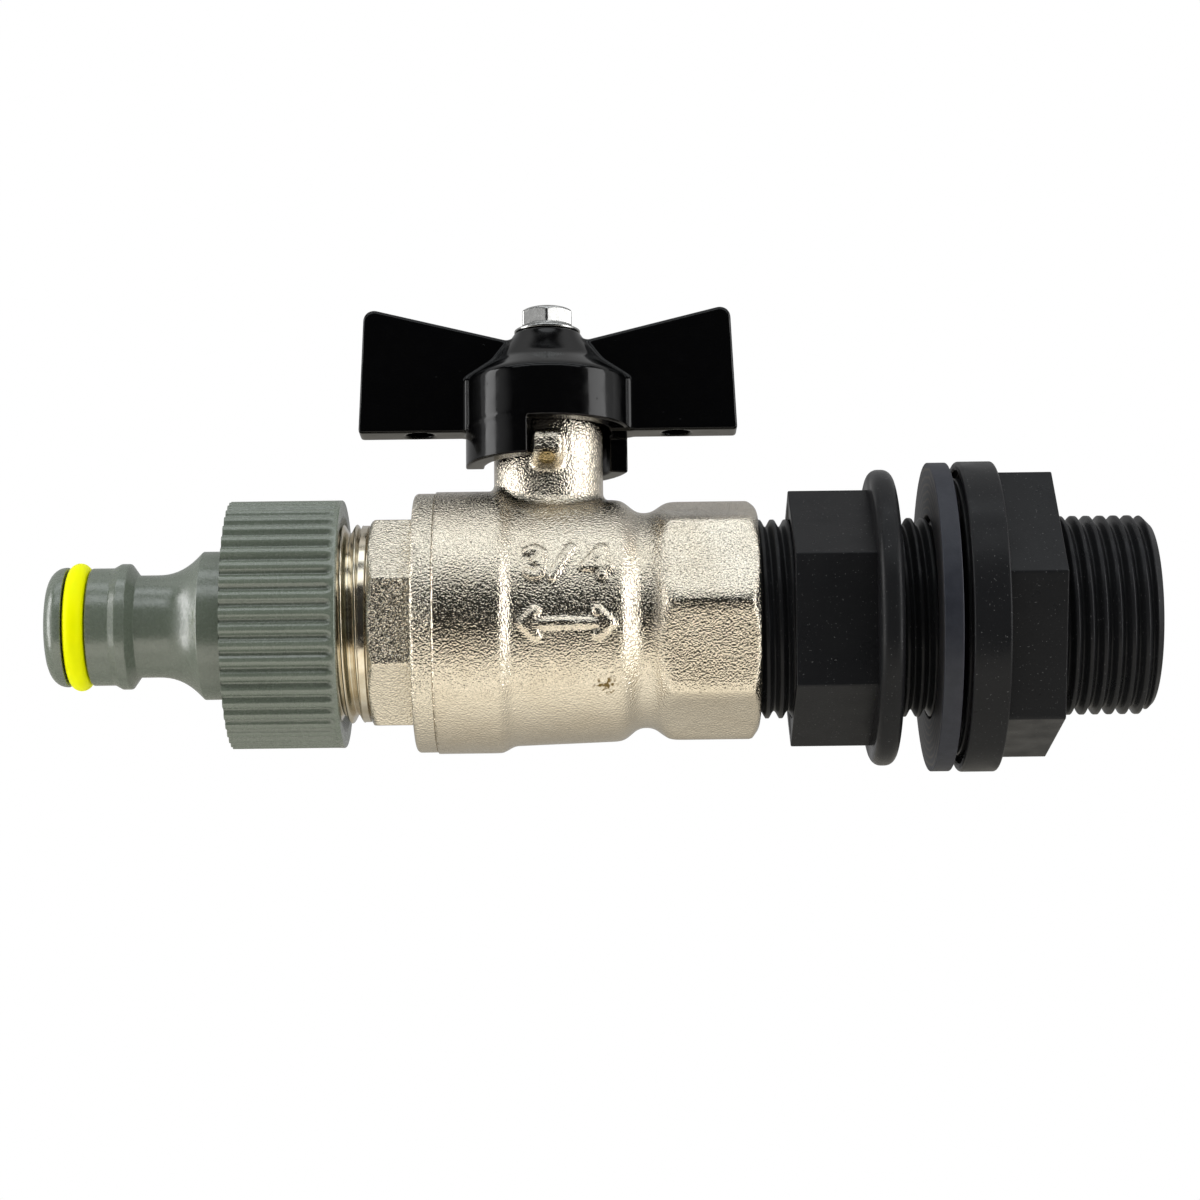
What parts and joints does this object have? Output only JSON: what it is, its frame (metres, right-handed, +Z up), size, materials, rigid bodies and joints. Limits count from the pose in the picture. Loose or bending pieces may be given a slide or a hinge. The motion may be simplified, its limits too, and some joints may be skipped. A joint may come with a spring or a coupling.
{
  "type": "rain barrel tap",
  "caption": "Quarter-turn ball valve with butterfly handle, ribbed hose connector spigot and a flanged bulkhead fitting with gasket and lock nut for a barrel wall.",
  "frame": {"origin": "on the pipe axis, in the plane of the bulkhead flange's sealing land, which is where the barrel wall is clamped", "axes": "+X along the pipe into the barrel, +Z up along the valve stem"},
  "size_m": [0.1459, 0.0412, 0.0634],
  "materials": {
    "black_plastic": "moulded, satin",
    "grey_rubber": "cut sheet rubber",
    "nickel_plated_brass": "nickel plated, forged texture",
    "black_rubber": "smooth",
    "chromed_ball": "polished",
    "white_seal": "smooth white fluoropolymer",
    "plain_brass": "machined",
    "black_coated_metal": "glossy black coating",
    "bright_steel": "zinc plated, bright",
    "grey_green_plastic": "moulded, satin",
    "lime_rubber": "smooth"
  },
  "bodies": {
    "valve": {"valve_body": "nickel_plated_brass", "end_cap": "nickel_plated_brass", "cap_o_ring": "black_rubber", "inlet_seat": "white_seal", "outlet_seat": "white_seal", "thrust_washer": "white_seal", "stem_packing": "white_seal", "gland_nut": "plain_brass", "tank_connector": "black_plastic"},
    "handle": {"handle": "black_coated_metal", "handle_screw": "bright_steel", "stem": "plain_brass", "stem_o_ring": "black_rubber", "ball": "chromed_ball"},
    "gasket": {"tank_gasket": "grey_rubber"},
    "nut": {"lock_nut": "black_plastic"},
    "washer": {"connector_washer": "black_rubber"},
    "connector": {"hose_connector": "grey_green_plastic", "spigot_o_ring": "lime_rubber"}
  },
  "joints": [
    {"name": "handle_turn", "type": "hinge", "parent": "valve", "child": "handle", "pos_m": [-0.0535, 0, 0.03], "axis": [0, 0, 1], "range_deg": [-90, 0]},
    {"name": "nut_travel", "type": "slide", "parent": "valve", "child": "gasket", "axis": [1, 0, 0], "range_m": [-0.004, 0.00078]},
    {"name": "nut_turn", "type": "hinge", "parent": "gasket", "child": "nut", "pos_m": [-0.0147, 0, 0], "axis": [1, 0, 0], "range_deg": [-790, 150]},
    {"name": "connector_travel", "type": "slide", "parent": "valve", "child": "washer", "axis": [1, 0, 0], "range_m": [-0.0087, 0]},
    {"name": "connector_turn", "type": "hinge", "parent": "washer", "child": "connector", "pos_m": [-0.0886, 0, 0], "axis": [1, 0, 0], "range_deg": [-1720, 0]}
  ],
  "couplings": [
    {"joint": "nut_travel", "follows": "nut_turn", "m_per_rad": 0.00028875},
    {"joint": "connector_travel", "follows": "connector_turn", "m_per_rad": 0.00028875}
  ]
}
